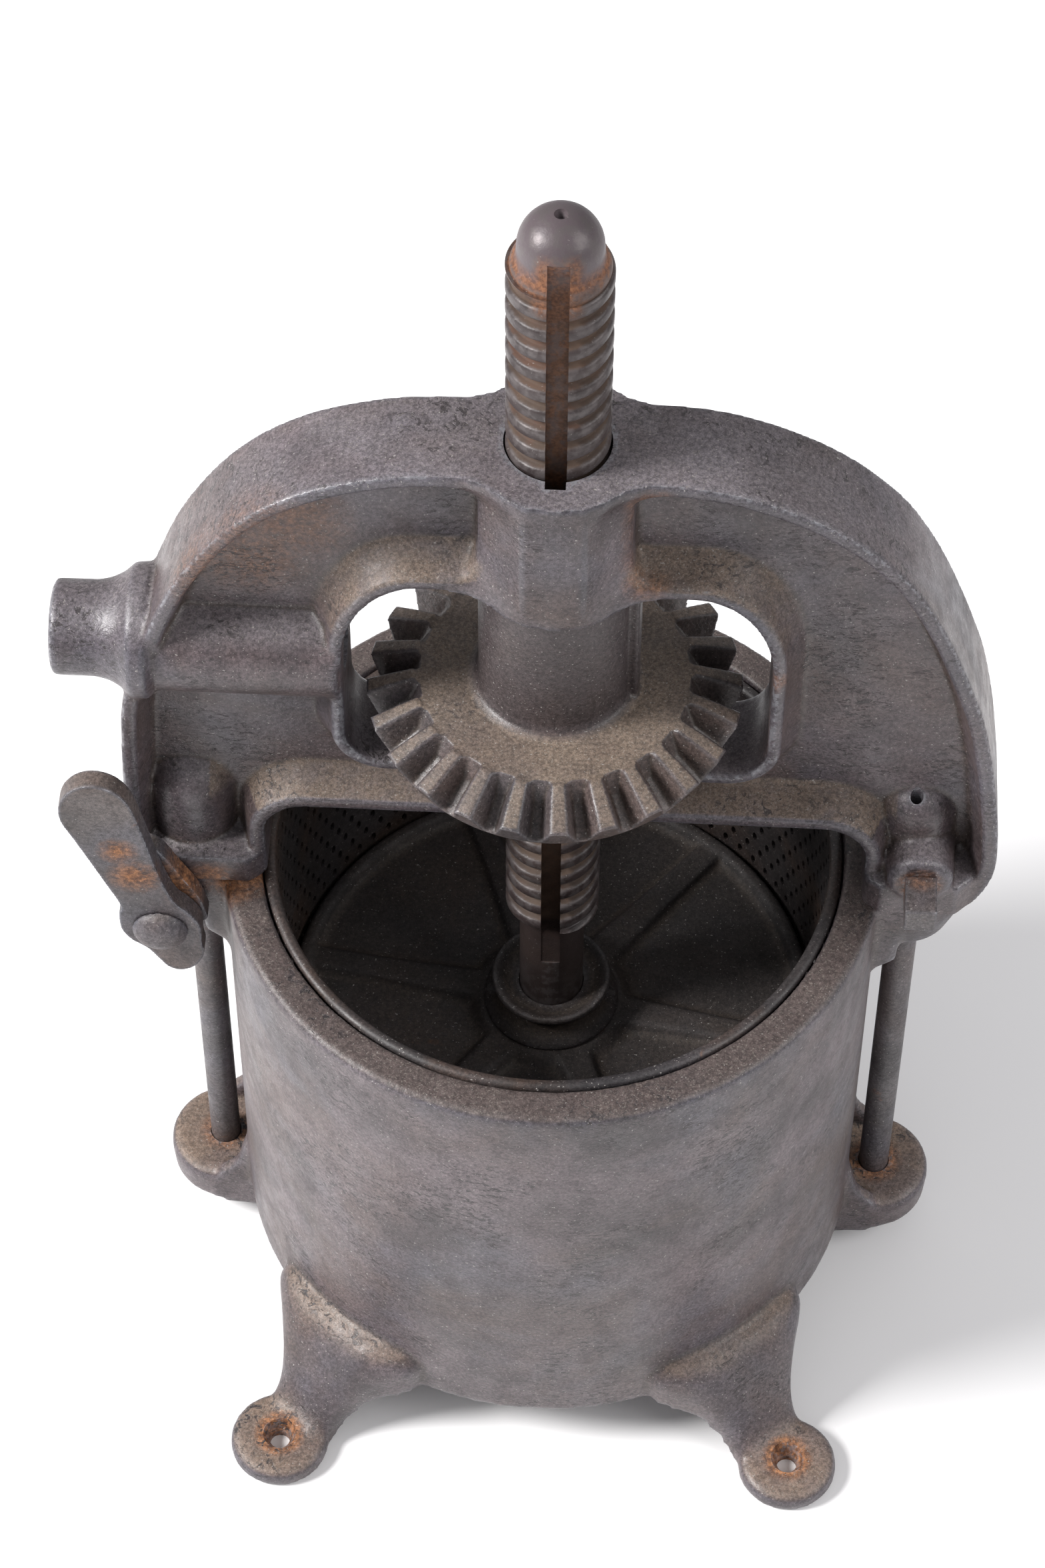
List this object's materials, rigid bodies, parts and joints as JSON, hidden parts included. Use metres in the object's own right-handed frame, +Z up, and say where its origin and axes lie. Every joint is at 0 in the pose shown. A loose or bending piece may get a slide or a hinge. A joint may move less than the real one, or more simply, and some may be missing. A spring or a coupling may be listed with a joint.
{
  "type": "screw press",
  "caption": "Cast-iron tabletop screw press: round footed cylinder with strainer, arched head on two rods, bevel gear nut, keyed screw and presser plate.",
  "frame": {"origin": "centre of the press's bounding box at the underside of the feet", "axes": "+Z up along the press screw, +X across the two tie rods towards the set screw side, -Y towards the clamp lever's face"},
  "size_m": [0.2715, 0.2342, 0.459],
  "materials": {
    "body_iron": "dark grey cast iron with a worn brown film and rust in the recesses",
    "head_iron": "dark grey cast iron, worn to a bluish sheen on the edges",
    "gear_iron": "dark grey cast iron with dried grease on the teeth",
    "plate_iron": "brown, lightly rusted cast iron",
    "clamp_iron": "brown worn malleable iron with light rust strokes",
    "screw_steel": "worn steel thread, brown rust in the grooves",
    "rod_steel": "dark tarnished steel",
    "fastener_steel": "dark tarnished steel",
    "sheet_tin": "dark stained tinned sheet steel"
  },
  "bodies": {
    "frame": {"cylinder_casting": "body_iron", "strainer_sleeve": "sheet_tin", "strainer_rolled_edge": "sheet_tin", "head_casting": "head_iron", "head_key": "fastener_steel", "tie_rod_left": "rod_steel", "tie_rod_right": "rod_steel", "rod_washer_left": "fastener_steel", "rod_washer_right": "fastener_steel", "rod_nut_left": "fastener_steel", "rod_nut_right": "fastener_steel", "square_set_screw": "fastener_steel", "clamp_block": "clamp_iron", "clamp_rivet": "fastener_steel", "thrust_washer": "fastener_steel"},
    "ram": {"press_screw": "screw_steel", "presser_plate": "plate_iron", "plate_hub_collar": "plate_iron", "hub_cross_pin": "fastener_steel", "plate_washer": "fastener_steel", "plate_nut": "fastener_steel"},
    "gear": {"gear_nut": "gear_iron"},
    "lever": {"clamp_lever": "clamp_iron"}
  },
  "joints": [
    {"name": "screw_slide", "type": "slide", "parent": "frame", "child": "ram", "axis": [0, 0, 1], "range_m": [-0.056, 0.086]},
    {"name": "gear_spin", "type": "hinge", "parent": "frame", "child": "gear", "pos_m": [0.0057, 0, 0.2745], "axis": [0, 0, 1], "range_deg": [-4080, 2660]},
    {"name": "lever_turn", "type": "hinge", "parent": "frame", "child": "lever", "pos_m": [-0.109, -0.028, 0.184], "axis": [0, -1, 0], "range_deg": [0, 46]}
  ],
  "couplings": [
    {"joint": "gear_spin", "follows": "screw_slide", "rad_per_m": -824.57}
  ]
}
